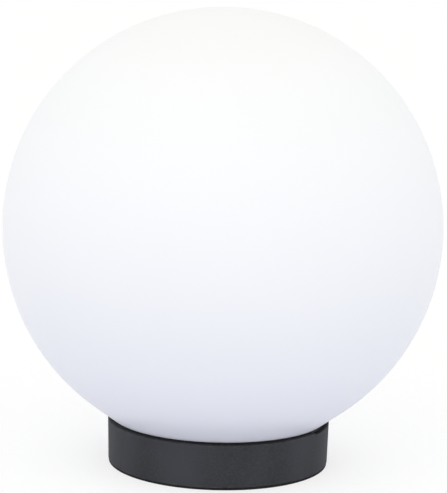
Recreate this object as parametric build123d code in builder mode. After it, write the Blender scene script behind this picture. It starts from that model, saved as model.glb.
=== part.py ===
from build123d import *

import os
from math import acos, atan2, cos, degrees, hypot, pi, radians, sin, sqrt

# Garden globe light for a pillar or a post: an opal globe whose neck screws into a round moulded base, over a
# screw-cap lampholder on a steel bracket, a terminal block and a bulb. Millimetres, +Z up. The origin is the middle
# of the base's underside, and the light's front faces -Y.

# ---------------------------------------------------------------- driving dimensions

seat_gap = 0.1  # between pieces that rest on each other and move apart
thread_gap = 0.3  # between the flanks that carry, when a thread is tight
screw_clearance = 0.05  # round a screw in the hole it grips
hole_clearance = 0.4  # round a screw in the hole it passes through
slide_clearance = 0.25  # round a piece that is pushed into place
embed = 0.3  # how deep a ridge is rooted in the wall it stands on
thread_entry_angle = 20.0  # where every thread starts, from +X

# Globe
globe_radius = 125.0
globe_wall = 3.0
globe_shoulder_stand_off = 0.97  # of the shoulder's edge outside the ball
globe_shoulder_inset = 2.3  # of the shoulder's edge from the base's
globe_shoulder_thickness = 3.0
globe_edge_radius = 0.6
neck_wall = 3.0
neck_length = 16.4

# Thread between the neck and the base
neck_running_gap = 0.5  # between the neck and the tips of the collar's thread
neck_thread_pitch = 6.0
neck_thread_turns = 1.25
neck_thread_depth = 1.4
collar_thread_depth = 1.5
neck_thread_root_width = 2.6
neck_thread_crest_width = 1.4
neck_thread_lift = 0.4  # of the thread's lowest flank over the neck's end

# Base
base_top_radius = 64.0
base_draft = 0.5
base_rim_height = 25.3
base_underside = 1.2
base_floor_thickness = 3.0
base_wall = 2.9
base_edge_radius = 0.5
collar_wall = 4.7
collar_height = 14.0
collar_lead_in = 1.5
gusset_length = 10.8
gusset_thickness = 1.6
gusset_neck_gap = 1.8  # between the gussets' tops and the end of the globe's neck
gusset_count = 8
rim_notch_depth = 0.9
rim_notch_width = 3.0
rim_notch_start = -31.0  # degrees round from +X
rim_notch_arc = 30.0

# Gaskets and grommet
globe_gasket_thickness = 0.9
globe_gasket_inset = 2.9
base_seal_inset = 0.3
base_seal_width = 13.6
grommet_hole_radius = 7.2
grommet_flange_radius = 10.0
grommet_flange = 1.5
grommet_lower_flange = 0.9
grommet_cone_height = 3.5
grommet_tip_radius = 5.0
cable_radius = 3.5

# Pillar fixing holes
fixing_pitch_radius = 44.0
fixing_hole_radius = 2.6
fixing_hole_count = 3
fixing_first_angle = 90.0
fixing_boss_radius = 5.5
fixing_boss_height = 0.8
pilot_depth = 1.5  # of the screws' pilot holes below the floor's face

# Bracket
bracket_thickness = 1.5
bracket_rise = 12.5  # from the feet's underside to the top
bracket_neck_gap = 4.3  # between its feet's ends and the globe's neck
bracket_foot_length = 15.5
bracket_boss_height = 4.8
bracket_width = 22.0
bracket_bend_radius = 1.2
bracket_disc_radius = 19.5
bracket_hole_radius = 9.0
bracket_screw_step = 8.5  # from the leg out to the foot's screw
bracket_boss_radius = 5.2
earth_screw_shift = 2.0  # of the earth screw, inwards from midway between leg and lampholder

# Lampholder
holder_radius = 19.5
holder_wall = 2.4
holder_floor = 3.0
holder_rim_lift = 1.35  # of the rim over the top of the bulb's cap
holder_edge_radius = 1.2
holder_mouth_chamfer = 0.4
core_height = 12.0
core_sleeve_height = 23.5
shell_bore_radius = 13.45
shell_wall = 0.5
shell_lip = 1.25  # of the shell over its thread
shell_collar_gap = 0.63  # between the shell's rim and the bulb's collar
shell_flange_inner_radius = 10.0
shell_rivet_radius = 1.0
shell_rivet_head_radius = 1.7
shell_rivet_head = 0.6
shell_rivet_length = 6.0
contact_offset = 4.5  # of each contact block from the middle, along X
contact_setback = 4.0  # of each contact block from the middle, along -Y
contact_width = 4.4
contact_rise = 0.1  # of the tongue's root over the core
contact_floor = 3.0  # under a contact block, in the core
strip_thickness = 0.6
strip_width = 3.0
tongue_rise = 1.4
tongue_width = 3.6
tongue_pad_radius = 2.6
tongue_flat = 1.1  # before the tongue starts to rise
tongue_end = 1.3  # level again, before its pad's middle
holder_screw_offset = 12.0

# Cap thread of the bulb
cap_thread_pitch = 3.629
cap_thread_turns = 4.0
cap_running_gap = 0.3  # between the cap and the tips of the shell's thread
cap_thread_depth = 1.1
shell_thread_depth = 1.15
cap_thread_root_width = 1.5
cap_thread_crest_width = 0.8

# Bulb
tip_radius = 4.5
tip_height = 1.6
tip_edge_radius = 0.5
insulator_height = 5.0
insulator_lower_radius = 6.0
cap_height = 26.0  # from the tip to the top of the cap
cap_wall = 0.5
bulb_collar_radius = 15.0
bulb_collar_height = 3.6
bulb_spigot_length = 14.0
bulb_spigot_wall = 1.6
bulb_wall = 2.0
bulb_housing_top_radius = 28.0
bulb_housing_rim_height = 2.5
bulb_ball_radius = 30.0
bulb_ball_lift = 18.0  # of the ball's middle over the housing's rim
bulb_length = 110.0
diffuser_wall = 1.5
diffuser_skirt = 2.0
heat_sink_wall = 1.2
heat_sink_plate = 1.5
heat_sink_vent_radius = 4.0
led_board_margin = 2.25
led_board_thickness = 1.5
led_board_hole_radius = 2.0
led_length = 3.5
led_width = 2.8
led_height = 0.8
led_ring_radius = 16.0
led_count = 12
board_screw_offset = 9.0
driver_board_thickness = 1.2
driver_board_gap = 5.0  # between the board and the heat sink's plate
capacitor_radius = 4.0
capacitor_length = 14.0
coil_width = 8.0
coil_depth = 6.0
coil_height = 9.0
bulb_ring_thickness = 2.0

# Terminal block
block_length = 30.0
block_depth = 17.0
block_height = 9.0
block_neck_gap = 8.3  # between the block and the globe's neck
block_plinth = 2.0
pole_pitch = 10.0
pole_count = 3
channel_width = 5.4
insert_width = 5.0
insert_length = 15.0
insert_bore_radius = 1.2
wire_height = 5.5  # of the wire bores over the block's foot
tower_radius = 3.2
tower_height = 3.0
tower_spacing = 9.0

# Leads
lead_radius = 1.1
strand_radius = 0.7
strand_length = 3.0
lead_hole_radius = 1.4
lead_drop_bend = 6.0
lead_entry_bend = 12.0
earth_lead_bend = 6.0
lead_straight = 10.0  # before the block
earth_lead_straight = 6.5
earth_lead_overhang = 5.0  # past the bracket's edge
lug_thickness = 1.0
lug_radius = 3.6
lug_barrel_radius = 1.7
lug_barrel_length = 6.0
lug_barrel_start = 5.0
lug_barrel_root = 1.0  # of the barrel under the ring's tongue
washer_thickness = 0.8
washer_radius = 3.6

# Screws: shank radius, head radius, head height
bracket_screw = (1.75, 3.5, 2.3)
holder_screw = (1.7, 3.2, 2.2)
earth_screw_size = (2.0, 3.6, 2.3)
block_screw = (1.3, 2.2, 1.8)
block_screw_bite = 0.75  # below the floor's face
clamp_screw = (1.2, 1.9, 1.6)
contact_screw = (1.2, 1.9, 1.6)
board_screw = (1.0, 1.8, 1.2)
screw_slot_length = 1.3  # of the head's radius
screw_slot_width = 0.28  # of the head's radius
screw_slot_depth = 0.5  # of the head's height
screw_head_rounding = 0.45  # of the head's height
screw_end_chamfer = 0.35  # of the shank's radius
board_screw_overrun = 0.75  # past the heat sink's plate
contact_bore_depth = 0.7  # of a contact block's height, for the lead's strands

# ---------------------------------------------------------------- sizes and heights that follow from them

base_bottom_radius = base_top_radius - base_draft
base_bore_radius = base_bottom_radius - base_wall
collar_radius = base_top_radius - collar_wall  # the bore that carries the thread
collar_tip_radius = collar_radius - collar_thread_depth
neck_radius = collar_tip_radius - neck_running_gap
neck_tip_radius = neck_radius + neck_thread_depth
neck_bore_radius = neck_radius - neck_wall
globe_shoulder_radius = base_top_radius - globe_shoulder_inset
globe_shoulder_drop = sqrt((globe_radius + globe_shoulder_stand_off) ** 2 - globe_shoulder_radius**2)
globe_shoulder = base_rim_height + globe_gasket_thickness + 2 * seat_gap
globe_centre = globe_shoulder + globe_shoulder_drop
neck_end = globe_shoulder - neck_length
floor_top = base_underside + base_floor_thickness
collar_bottom = base_rim_height - collar_height
bracket_foot_height = floor_top + bracket_boss_height
bracket_foot_end = neck_bore_radius - bracket_neck_gap
bracket_half_span = bracket_foot_end - bracket_foot_length
bracket_screw_offset = bracket_half_span + bracket_screw_step
bracket_top = bracket_foot_height + bracket_rise
bracket_underside = bracket_top - bracket_thickness
earth_screw_offset = (bracket_half_span + holder_radius) / 2 - earth_screw_shift
core_bottom = bracket_top + holder_floor
core_top = core_bottom + core_height
shell_tip_radius = shell_bore_radius - shell_thread_depth
shell_outer_radius = shell_bore_radius + shell_wall
shell_rivet_offset = (shell_flange_inner_radius + shell_bore_radius) / 2
shell_strip_reach = shell_rivet_offset
cap_radius = shell_tip_radius - cap_running_gap
cap_tip_radius = cap_radius + cap_thread_depth
tongue_top = core_top + tongue_rise
tip = tongue_top + slide_clearance
cap_top = tip + cap_height
holder_rim = cap_top + holder_rim_lift
shell_rim = cap_top - shell_collar_gap
shell_thread_start = shell_rim - shell_lip - cap_thread_root_width / 2 - cap_thread_pitch * cap_thread_turns
bulb_centre = tip + bulb_length - bulb_ball_radius
housing_top = bulb_centre - bulb_ball_lift
plinth_top = floor_top + block_plinth
block_top = plinth_top + block_height
wire_level = plinth_top + wire_height
block_offset = neck_bore_radius - block_neck_gap - block_depth / 2  # of its middle, along -Y
block_front = -block_offset + block_depth / 2  # the face towards the light's axis


def flank_offset(male_tip, female_tip, male_depth, female_depth, root_width, crest_width):
    """Height from a male ridge's middle up to the female ridge's it pulls against, thread_gap apart."""
    overlap = male_tip - female_tip
    spread = (root_width - crest_width) / 2
    return crest_width + spread * overlap / min(male_depth, female_depth) + thread_gap


neck_thread_start = neck_end + neck_thread_lift + neck_thread_root_width / 2
collar_thread_start = neck_thread_start + flank_offset(
    neck_tip_radius,
    collar_tip_radius,
    neck_thread_depth,
    collar_thread_depth,
    neck_thread_root_width,
    neck_thread_crest_width,
)
cap_thread_start = shell_thread_start - flank_offset(
    cap_tip_radius,
    shell_tip_radius,
    cap_thread_depth,
    shell_thread_depth,
    cap_thread_root_width,
    cap_thread_crest_width,
)

# ---------------------------------------------------------------- helpers


def thread_ridge(root_radius, depth, root_width, crest_width, pitch, turns, start):
    """A right-hand helical ridge of trapezoid section. A negative depth makes it point inwards."""
    inwards = -1 if depth < 0 else 1
    with BuildPart() as ridge:
        with BuildLine() as helix:
            Helix(pitch=pitch, height=pitch * turns, radius=root_radius, center=(0, 0, start))
        path = helix.wires()[0]
        with BuildSketch(Plane(origin=path @ 0, x_dir=(1, 0, 0), z_dir=path % 0)):
            with BuildLine():
                Polyline(
                    (-inwards * embed, -root_width / 2),
                    (0, -root_width / 2),
                    (depth, -crest_width / 2),
                    (depth, crest_width / 2),
                    (0, root_width / 2),
                    (-inwards * embed, root_width / 2),
                    close=True,
                )
            make_face()
        sweep(path=path, is_frenet=True)
    return ridge.part.rotate(Axis.Z, thread_entry_angle)


def cone_angle(ball_radius, rim_radius, rim_drop):
    """Angle from straight down, in radians, where a cone to the rim leaves the ball smoothly."""
    return atan2(rim_radius, rim_drop) + acos(ball_radius / hypot(rim_radius, rim_drop))


def cone_radius(ball_radius, angle, drop):
    """Radius of the cone that leaves the ball at that angle, at a drop below the ball's middle."""
    return (ball_radius - drop * cos(angle)) / sin(angle)


def screw(size, length):
    """A pan-head screw with a crossed slot, pointing down, with its head standing on z = 0."""
    shank_radius, head_radius, head_height = size
    slot_length = head_radius * screw_slot_length
    slot_width = head_radius * screw_slot_width
    with BuildPart() as made:
        with BuildSketch():
            Circle(head_radius)
        extrude(amount=head_height)
        fillet(made.faces().sort_by(Axis.Z)[-1].edges(), head_height * screw_head_rounding)
        with BuildSketch(Plane.XY.offset(head_height)):
            Rectangle(slot_length, slot_width)
            Rectangle(slot_width, slot_length)
        extrude(amount=-head_height * screw_slot_depth, mode=Mode.SUBTRACT)
        with BuildSketch():
            Circle(shank_radius)
        extrude(amount=-length)
        chamfer(made.faces().sort_by(Axis.Z)[0].edges(), shank_radius * screw_end_chamfer)
    return made.part


def lead(name, points, radii):
    """An insulated lead along a route, with its bare strands standing out of both ends."""
    with BuildPart() as wire:
        with BuildLine() as route:
            FilletPolyline(*points, radius=radii)
        path = route.wires()[0]
        with BuildSketch(Plane(origin=path @ 0, z_dir=path % 0)):
            Circle(lead_radius)
        sweep(path=path)
        for end, away in ((path @ 0, path % 0 * -1), (path @ 1, path % 1)):
            with BuildSketch(Plane(origin=end, z_dir=away)):
                Circle(strand_radius)
            extrude(amount=strand_length)
    expected = path.length * pi * lead_radius**2 + 2 * strand_length * pi * strand_radius**2
    ratio = wire.part.volume / expected
    print(name, "length", round(path.length, 1), "bends", radii, "volume ratio", round(ratio, 4))
    return wire.part


def save(part, name):
    part.label = name
    export_step(part, f"parts/{name}.step")


os.makedirs("parts", exist_ok=True)

# ---------------------------------------------------------------- globe and its gasket

# The ball runs out through a short cone to a shoulder that sits over the base's rim. The threaded neck goes down
# inside the base.
globe_cone = cone_angle(globe_radius, globe_shoulder_radius, globe_shoulder_drop)
globe_inner_radius = globe_radius - globe_wall
shoulder_top = globe_shoulder + globe_shoulder_thickness
shoulder_inner_radius = cone_radius(globe_inner_radius, globe_cone, globe_centre - shoulder_top)
with BuildPart() as globe:
    with BuildSketch(Plane.XZ) as globe_section:
        with BuildLine():
            ball = CenterArc((0, globe_centre), globe_radius, degrees(globe_cone) - 90, 180 - degrees(globe_cone))
            Polyline(
                ball @ 0,
                (globe_shoulder_radius, globe_shoulder),
                (neck_radius, globe_shoulder),
                (neck_radius, neck_end),
                (neck_bore_radius, neck_end),
                (neck_bore_radius, shoulder_top),
                (shoulder_inner_radius, shoulder_top),
                (globe_inner_radius * sin(globe_cone), globe_centre - globe_inner_radius * cos(globe_cone)),
            )
            inside = CenterArc(
                (0, globe_centre), globe_inner_radius, degrees(globe_cone) - 90, 180 - degrees(globe_cone)
            )
            Line(inside @ 1, ball @ 1)
        make_face()
        edge = globe_section.vertices().sort_by_distance((globe_shoulder_radius, globe_shoulder))[0]
        fillet(edge, globe_edge_radius)
    revolve(axis=Axis.Z)
    add(
        thread_ridge(
            neck_radius,
            neck_thread_depth,
            neck_thread_root_width,
            neck_thread_crest_width,
            neck_thread_pitch,
            neck_thread_turns,
            neck_thread_start,
        )
    )
save(globe.part, "globe")

# A flat rubber ring, stretched over the neck and pressed on the rim of the base by the globe's shoulder.
with BuildPart() as globe_gasket:
    with BuildSketch(Plane.XY.offset(base_rim_height + seat_gap)):
        Circle(base_top_radius - globe_gasket_inset)
        Circle(neck_tip_radius + slide_clearance, mode=Mode.SUBTRACT)
    extrude(amount=globe_gasket_thickness)
save(globe_gasket.part, "globe_gasket")

# ---------------------------------------------------------------- base

# One moulding: a low drum with a slight draft, thicker at the top where the collar's thread is cut, on a flat floor.
with BuildPart() as base_housing:
    with BuildSketch(Plane.XZ):
        with BuildLine():
            Polyline(
                (grommet_hole_radius, base_underside),
                (base_bottom_radius, base_underside),
                (base_top_radius, base_rim_height),
                (collar_radius, base_rim_height),
                (collar_radius, collar_bottom),
                (base_bore_radius, collar_bottom - collar_lead_in),
                (base_bore_radius, floor_top),
                (grommet_hole_radius, floor_top),
                close=True,
            )
        make_face()
    revolve(axis=Axis.Z)
    rings = base_housing.edges().filter_by(GeomType.CIRCLE).sort_by(SortBy.RADIUS)
    fillet(rings[-2:], base_edge_radius)
    with BuildSketch(Plane.XY.offset(floor_top)):
        with Locations((-bracket_screw_offset, 0), (bracket_screw_offset, 0)):
            Circle(bracket_boss_radius)
    extrude(amount=bracket_foot_height - floor_top)
    with BuildSketch(Plane.XY.offset(floor_top)):
        with Locations((0, -block_offset)):
            Rectangle(block_length, block_depth)
    extrude(amount=block_plinth)
    with BuildSketch(Plane.XY.offset(floor_top)):
        with PolarLocations(fixing_pitch_radius, fixing_hole_count, fixing_first_angle):
            Circle(fixing_boss_radius)
    extrude(amount=fixing_boss_height)
    with BuildSketch(Plane.XY.offset(floor_top)):
        with PolarLocations(base_bore_radius + embed - gusset_length / 2, gusset_count, 180 / gusset_count):
            Rectangle(gusset_length, gusset_thickness)
    extrude(amount=neck_end - gusset_neck_gap - floor_top)
    with BuildSketch(Plane.XY.offset(base_underside)):
        with PolarLocations(fixing_pitch_radius, fixing_hole_count, fixing_first_angle):
            Circle(fixing_hole_radius)
    extrude(amount=base_floor_thickness + fixing_boss_height, mode=Mode.SUBTRACT)
    pilot_floor = floor_top - pilot_depth
    with BuildSketch(Plane.XY.offset(pilot_floor)):
        with Locations((-bracket_screw_offset, 0), (bracket_screw_offset, 0)):
            Circle(bracket_screw[0] + screw_clearance)
    extrude(amount=bracket_foot_height - pilot_floor, mode=Mode.SUBTRACT)
    with BuildSketch(Plane.XY.offset(pilot_floor)):
        with Locations((-pole_pitch / 2, -block_offset)):
            Circle(block_screw[0] + screw_clearance)
    extrude(amount=plinth_top - pilot_floor, mode=Mode.SUBTRACT)
    notch_angle = radians(rim_notch_start)
    notch_plane = Plane(
        origin=(0, 0, 0),
        x_dir=(cos(notch_angle), sin(notch_angle), 0),
        z_dir=(sin(notch_angle), -cos(notch_angle), 0),
    )
    with BuildSketch(notch_plane):
        with Locations((base_top_radius, base_rim_height)):
            Rectangle(2 * rim_notch_width, 2 * rim_notch_depth)
    revolve(axis=Axis.Z, revolution_arc=rim_notch_arc, mode=Mode.SUBTRACT)
    add(
        thread_ridge(
            collar_radius,
            -collar_thread_depth,
            neck_thread_root_width,
            neck_thread_crest_width,
            neck_thread_pitch,
            neck_thread_turns,
            collar_thread_start,
        )
    )
save(base_housing.part, "base_housing")

# A foam ring stuck under the base, which seals it to the pillar and is what the light stands on.
with BuildPart() as base_seal:
    with BuildSketch():
        Circle(base_bottom_radius - base_seal_inset)
        Circle(base_bottom_radius - base_seal_inset - base_seal_width, mode=Mode.SUBTRACT)
    extrude(amount=base_underside)
save(base_seal.part, "base_seal")

# A rubber grommet snapped into the middle of the floor, where the mains cable comes up from the pillar.
grommet_bottom = base_underside - grommet_lower_flange
grommet_flange_top = floor_top + grommet_flange
with BuildPart() as cable_grommet:
    with BuildSketch(Plane.XZ):
        with BuildLine():
            Polyline(
                (cable_radius, grommet_bottom),
                (grommet_flange_radius, grommet_bottom),
                (grommet_flange_radius, base_underside),
                (grommet_hole_radius - slide_clearance, base_underside),
                (grommet_hole_radius - slide_clearance, floor_top),
                (grommet_flange_radius, floor_top),
                (grommet_flange_radius, grommet_flange_top),
                (grommet_hole_radius, grommet_flange_top),
                (grommet_tip_radius, grommet_flange_top + grommet_cone_height),
                (cable_radius, grommet_flange_top + grommet_cone_height),
                close=True,
            )
        make_face()
    revolve(axis=Axis.Z)
save(cable_grommet.part, "cable_grommet")

# ---------------------------------------------------------------- lampholder bracket

# A bent steel strip that stands over the cable entry on two bosses and carries the lampholder.
with BuildPart() as lampholder_bracket:
    with BuildSketch(Plane.XZ) as strip:
        with BuildLine():
            Polyline(
                (0, bracket_underside),
                (bracket_half_span - bracket_thickness, bracket_underside),
                (bracket_half_span - bracket_thickness, bracket_foot_height),
                (bracket_foot_end, bracket_foot_height),
                (bracket_foot_end, bracket_foot_height + bracket_thickness),
                (bracket_half_span, bracket_foot_height + bracket_thickness),
                (bracket_half_span, bracket_top),
                (0, bracket_top),
                close=True,
            )
        make_face()
        outer_bends = (
            (bracket_half_span, bracket_top),
            (bracket_half_span - bracket_thickness, bracket_foot_height),
        )
        inner_bends = (
            (bracket_half_span - bracket_thickness, bracket_underside),
            (bracket_half_span, bracket_foot_height + bracket_thickness),
        )
        for bends, bend_radius in (
            (outer_bends, bracket_bend_radius + bracket_thickness),
            (inner_bends, bracket_bend_radius),
        ):
            for bend in bends:
                fillet(strip.vertices().sort_by_distance(bend)[0], bend_radius)
    extrude(amount=bracket_width / 2, both=True)
    mirror(about=Plane.YZ)
    with BuildSketch(Plane.XY.offset(bracket_underside)):
        Circle(bracket_disc_radius)
    extrude(amount=bracket_thickness)
    with BuildSketch(Plane.XY.offset(bracket_foot_height)):
        Circle(bracket_hole_radius)
        with Locations((-holder_screw_offset, 0), (holder_screw_offset, 0)):
            Circle(holder_screw[0] + hole_clearance)
        with Locations((-bracket_screw_offset, 0), (bracket_screw_offset, 0)):
            Circle(bracket_screw[0] + hole_clearance)
        with Locations((earth_screw_offset, 0)):
            Circle(earth_screw_size[0] + screw_clearance)
    extrude(amount=bracket_top - bracket_foot_height, mode=Mode.SUBTRACT)
save(lampholder_bracket.part, "lampholder_bracket")

with BuildPart() as bracket_screws:
    with Locations(
        (-bracket_screw_offset, 0, bracket_foot_height + bracket_thickness),
        (bracket_screw_offset, 0, bracket_foot_height + bracket_thickness),
    ):
        add(screw(bracket_screw, bracket_foot_height + bracket_thickness - floor_top))
save(bracket_screws.part, "bracket_screws")

# ---------------------------------------------------------------- lampholder

# The holder's moulded cup, open at the top, with holes in its floor for the leads and the fixing screws.
with BuildPart() as lampholder_body:
    with BuildSketch(Plane.XY.offset(bracket_top)):
        Circle(holder_radius)
    extrude(amount=holder_rim - bracket_top)
    with BuildSketch(Plane.XY.offset(core_bottom)):
        Circle(holder_radius - holder_wall)
    extrude(amount=holder_rim - core_bottom, mode=Mode.SUBTRACT)
    fillet(lampholder_body.faces().sort_by(Axis.Z)[0].edges(), holder_edge_radius)
    chamfer(lampholder_body.faces().sort_by(Axis.Z)[-1].edges(), holder_mouth_chamfer)
    with BuildSketch(Plane.XY.offset(bracket_top)):
        with Locations((-contact_offset, -contact_setback), (contact_offset, -contact_setback)):
            Circle(lead_hole_radius)
        with Locations((-holder_screw_offset, 0), (holder_screw_offset, 0)):
            Circle(holder_screw[0] + hole_clearance)
    extrude(amount=holder_floor, mode=Mode.SUBTRACT)
save(lampholder_body.part, "lampholder_body")

# The ceramic core: a disc with a pocket for each contact, and a sleeve round the screw shell.
core_radius = holder_radius - holder_wall - slide_clearance
contact_bottom = core_bottom + contact_floor
contact_top = core_top - slide_clearance
contact_height = contact_top - contact_bottom
contact_screw_level = contact_bottom + contact_height / 2
contact_pocket = contact_width + 2 * slide_clearance
contact_places = ((-contact_offset, -contact_setback), (contact_offset, -contact_setback))
with BuildPart() as lampholder_core:
    with BuildSketch(Plane.XY.offset(core_bottom)):
        Circle(core_radius)
    extrude(amount=core_height)
    with BuildSketch(Plane.XY.offset(core_top)):
        Circle(core_radius)
        Circle(shell_outer_radius + 2 * slide_clearance, mode=Mode.SUBTRACT)
    extrude(amount=core_sleeve_height)
    with BuildSketch(Plane.XY.offset(contact_bottom)):
        with Locations(*contact_places):
            Rectangle(contact_pocket, contact_pocket)
    extrude(amount=core_top - contact_bottom, mode=Mode.SUBTRACT)
    with BuildSketch(Plane.XY.offset(core_bottom)):
        with Locations(*contact_places):
            Circle(lead_hole_radius)
    extrude(amount=contact_floor, mode=Mode.SUBTRACT)
    with BuildSketch(Plane.XY.offset(core_bottom)):
        with Locations((-holder_screw_offset, 0), (holder_screw_offset, 0)):
            Circle(holder_screw[0] + screw_clearance)
    extrude(amount=core_height - contact_floor, mode=Mode.SUBTRACT)
    with BuildSketch(Plane.XY.offset(core_top)):
        with Locations((0, -shell_rivet_offset), (0, shell_rivet_offset)):
            Circle(shell_rivet_radius + screw_clearance)
    extrude(amount=-shell_rivet_length, mode=Mode.SUBTRACT)
    strip_length = shell_strip_reach - contact_offset + slide_clearance
    with BuildSketch(Plane.XY.offset(core_top)):
        with Locations((contact_offset + strip_length / 2, -contact_setback)):
            Rectangle(strip_length, strip_width + 2 * slide_clearance)
    extrude(amount=contact_top - strip_thickness - slide_clearance - core_top, mode=Mode.SUBTRACT)
    with BuildSketch(Plane.XZ.offset(contact_setback)):
        with Locations((-contact_offset, contact_screw_level), (contact_offset, contact_screw_level)):
            Circle(contact_screw[1] + slide_clearance)
    extrude(amount=core_radius, mode=Mode.SUBTRACT)
save(lampholder_core.part, "lampholder_core")

with BuildPart() as lampholder_fixing_screws:
    with Locations(
        Location((-holder_screw_offset, 0, bracket_underside), (180, 0, 0)),
        Location((holder_screw_offset, 0, bracket_underside), (180, 0, 0)),
    ):
        add(screw(holder_screw, core_top - contact_floor - slide_clearance - bracket_underside))
save(lampholder_fixing_screws.part, "lampholder_fixing_screws")

# The brass screw shell, with the rolled thread inside and a flange that stands on the core.
with BuildPart() as screw_shell:
    with BuildSketch(Plane.XY.offset(core_top)):
        Circle(shell_outer_radius)
        Circle(shell_bore_radius, mode=Mode.SUBTRACT)
    extrude(amount=shell_rim - core_top)
    with BuildSketch(Plane.XY.offset(core_top)):
        Circle(shell_outer_radius)
        Circle(shell_flange_inner_radius, mode=Mode.SUBTRACT)
        with Locations((0, -shell_rivet_offset), (0, shell_rivet_offset)):
            Circle(shell_rivet_radius + screw_clearance, mode=Mode.SUBTRACT)
    extrude(amount=strip_thickness)
    add(
        thread_ridge(
            shell_bore_radius,
            -shell_thread_depth,
            cap_thread_root_width,
            cap_thread_crest_width,
            cap_thread_pitch,
            cap_thread_turns,
            shell_thread_start,
        )
    )
save(screw_shell.part, "screw_shell")

with BuildPart() as shell_rivets:
    with BuildSketch(Plane.XY.offset(core_top + strip_thickness)):
        with Locations((0, -shell_rivet_offset), (0, shell_rivet_offset)):
            Circle(shell_rivet_head_radius)
    extrude(amount=shell_rivet_head)
    with BuildSketch(Plane.XY.offset(core_top + strip_thickness)):
        with Locations((0, -shell_rivet_offset), (0, shell_rivet_offset)):
            Circle(shell_rivet_radius)
    extrude(amount=-(shell_rivet_length + strip_thickness - slide_clearance))
save(shell_rivets.part, "shell_rivets")


def contact_block(side, top):
    """A brass block in its pocket, bored from below for the lead's strands and from the front for its screw."""
    with BuildPart() as made:
        with BuildSketch(Plane.XY.offset(contact_bottom)):
            with Locations((side * contact_offset, -contact_setback)):
                Rectangle(contact_width, contact_width)
        extrude(amount=top - contact_bottom)
        with BuildSketch(Plane.XY.offset(contact_bottom)):
            with Locations((side * contact_offset, -contact_setback)):
                Circle(strand_radius + slide_clearance)
        extrude(amount=contact_height * contact_bore_depth, mode=Mode.SUBTRACT)
        with BuildSketch(Plane.XZ.offset(contact_setback)):
            with Locations((side * contact_offset, contact_screw_level)):
                Circle(contact_screw[0] + screw_clearance)
        extrude(amount=contact_width, mode=Mode.SUBTRACT)
    return made.part


# The centre contact: a block with a springy tongue that rises to the middle, under the bulb's tip.
with BuildPart() as centre_contact:
    tongue_root = core_top + contact_rise + strip_thickness
    add(contact_block(-1, tongue_root))
    tongue_run = hypot(contact_offset, contact_setback)
    tongue_turn = degrees(atan2(contact_setback, contact_offset))
    tongue_plane = Plane(
        origin=(-contact_offset, -contact_setback, 0),
        x_dir=(contact_offset, contact_setback, 0),
        z_dir=(contact_setback, -contact_offset, 0),
    )
    with BuildSketch(tongue_plane):
        with BuildLine():
            Polyline(
                (0, tongue_root - strip_thickness),
                (tongue_flat, tongue_root - strip_thickness),
                (tongue_run - tongue_end, tongue_top - strip_thickness),
                (tongue_run, tongue_top - strip_thickness),
                (tongue_run, tongue_top),
                (tongue_run - tongue_end, tongue_top),
                (tongue_flat, tongue_root),
                (0, tongue_root),
                close=True,
            )
        make_face()
    extrude(amount=tongue_width / 2, both=True)
    with BuildSketch(Plane.XY.offset(tongue_top - strip_thickness)):
        Circle(tongue_pad_radius)
    extrude(amount=strip_thickness)
save(centre_contact.part, "centre_contact")

# The shell contact: the same block, with a flat strip that runs under the screw shell's flange.
with BuildPart() as shell_contact:
    add(contact_block(1, contact_top))
    with BuildSketch(Plane.XY.offset(core_top)):
        with Locations(((contact_offset + shell_strip_reach) / 2, -contact_setback)):
            Rectangle(shell_strip_reach - contact_offset, strip_width)
    extrude(amount=contact_top - strip_thickness - core_top)
save(shell_contact.part, "shell_contact")

contact_screw_length = contact_width / 2 - strand_radius - slide_clearance
with BuildPart() as lampholder_terminal_screws:
    with Locations(
        Location((-contact_offset, -contact_setback - contact_width / 2, contact_screw_level), (90, 0, 0)),
        Location((contact_offset, -contact_setback - contact_width / 2, contact_screw_level), (90, 0, 0)),
    ):
        add(screw(contact_screw, contact_screw_length))
save(lampholder_terminal_screws.part, "lampholder_terminal_screws")

# ---------------------------------------------------------------- terminal block

pole_places = [(pole_pitch * (i - (pole_count - 1) / 2), -block_offset) for i in range(pole_count)]
tower_places = [(x, y + side * tower_spacing / 2) for x, y in pole_places for side in (-1, 1)]
with BuildPart() as terminal_block_body:
    with BuildSketch(Plane.XY.offset(plinth_top)):
        with Locations((0, -block_offset)):
            Rectangle(block_length, block_depth)
    extrude(amount=block_height)
    with BuildSketch(Plane.XY.offset(block_top)):
        with Locations(*tower_places):
            Circle(tower_radius)
    extrude(amount=tower_height)
    with BuildSketch(Plane.XZ.offset(block_offset)):
        with Locations(*[(x, wire_level) for x, y in pole_places]):
            Rectangle(channel_width, channel_width)
    extrude(amount=block_depth, both=True, mode=Mode.SUBTRACT)
    with BuildSketch(Plane.XY.offset(wire_level)):
        with Locations(*tower_places):
            Circle(clamp_screw[1] + slide_clearance)
    extrude(amount=block_top + tower_height - wire_level, mode=Mode.SUBTRACT)
    with BuildSketch(Plane.XY.offset(plinth_top)):
        with Locations((-pole_pitch / 2, -block_offset)):
            Circle(block_screw[0] + hole_clearance)
    extrude(amount=block_height, mode=Mode.SUBTRACT)
save(terminal_block_body.part, "terminal_block_body")

insert_top = wire_level + insert_width / 2
with BuildPart() as terminal_block_inserts:
    with BuildSketch(Plane.XZ.offset(block_offset)):
        with Locations(*[(x, wire_level) for x, y in pole_places]):
            Rectangle(insert_width, insert_width)
            Circle(insert_bore_radius, mode=Mode.SUBTRACT)
    extrude(amount=insert_length / 2, both=True)
    with BuildSketch(Plane.XY.offset(wire_level)):
        with Locations(*tower_places):
            Circle(clamp_screw[0] + screw_clearance)
    extrude(amount=insert_width, mode=Mode.SUBTRACT)
save(terminal_block_inserts.part, "terminal_block_inserts")

with BuildPart() as terminal_block_screws:
    with Locations(*[(x, y, insert_top + slide_clearance) for x, y in tower_places]):
        add(screw(clamp_screw, insert_width / 2 - strand_radius))
save(terminal_block_screws.part, "terminal_block_screws")

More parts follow.
